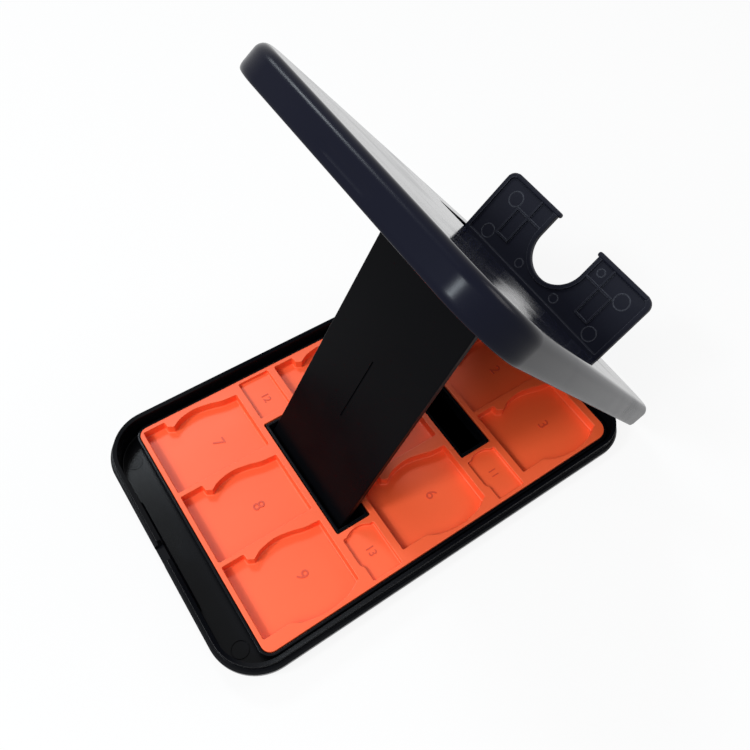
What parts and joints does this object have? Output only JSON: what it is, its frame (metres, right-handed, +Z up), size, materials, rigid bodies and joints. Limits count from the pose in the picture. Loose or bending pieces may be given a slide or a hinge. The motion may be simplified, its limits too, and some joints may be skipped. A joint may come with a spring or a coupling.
{
  "type": "game card holder stand",
  "caption": "Flat hinged case with a pocketed insert for game cards; its propped-open lid and fold-out lip stand a handheld console up.",
  "frame": {"origin": "middle of the tray's footprint, at the level the rubber feet stand on (the tray's underside is 0.6 mm above it)", "axes": "+Z up; +Y from the hinge towards the latch end, along the case's length; +X across the case, to the right as seen from the console's side at -Y"},
  "size_m": [0.0914, 0.154, 0.1304],
  "materials": {
    "case_black": "satin moulded plastic, fine grain",
    "lid_black": "smooth semi-gloss moulded plastic with a blue-black cast",
    "leg_black": "smooth gloss plastic",
    "lip_black": "satin moulded plastic",
    "insert_coral": "soft matte moulded elastomer",
    "pin_steel": "ground pin",
    "foot_rubber": "matte"
  },
  "bodies": {
    "base": {"base_tray": "case_black", "card_insert": "insert_coral", "foot_hinge_left": "foot_rubber", "foot_hinge_right": "foot_rubber", "foot_latch_left": "foot_rubber", "foot_latch_right": "foot_rubber", "lid_hinge_pin_left": "pin_steel", "lid_hinge_pin_right": "pin_steel"},
    "lid": {"lid_shell": "lid_black", "leg_pivot_pin_left": "pin_steel", "leg_pivot_pin_right": "pin_steel", "lip_pivot_pin_left": "pin_steel", "lip_pivot_pin_right": "pin_steel"},
    "leg": {"prop_leg": "leg_black"},
    "lip": {"console_lip": "lip_black"}
  },
  "joints": [
    {"name": "lid_hinge", "type": "hinge", "parent": "base", "child": "lid", "pos_m": [0, -0.07681, 0.00894], "axis": [1, 0, 0], "range_deg": [0, 64]},
    {"name": "leg_hinge", "type": "hinge", "parent": "lid", "child": "leg", "pos_m": [0, -0.01571, 0.08798], "axis": [1, 0, 0], "range_deg": [-64, 0]},
    {"name": "lip_hinge", "type": "hinge", "parent": "lid", "child": "lip", "pos_m": [0, -0.05338, 0.04776], "axis": [1, 0, 0], "range_deg": [-84, 0]}
  ],
  "couplings": [
    {"joint": "leg_hinge", "follows": "lid_hinge", "ratio": -1}
  ]
}
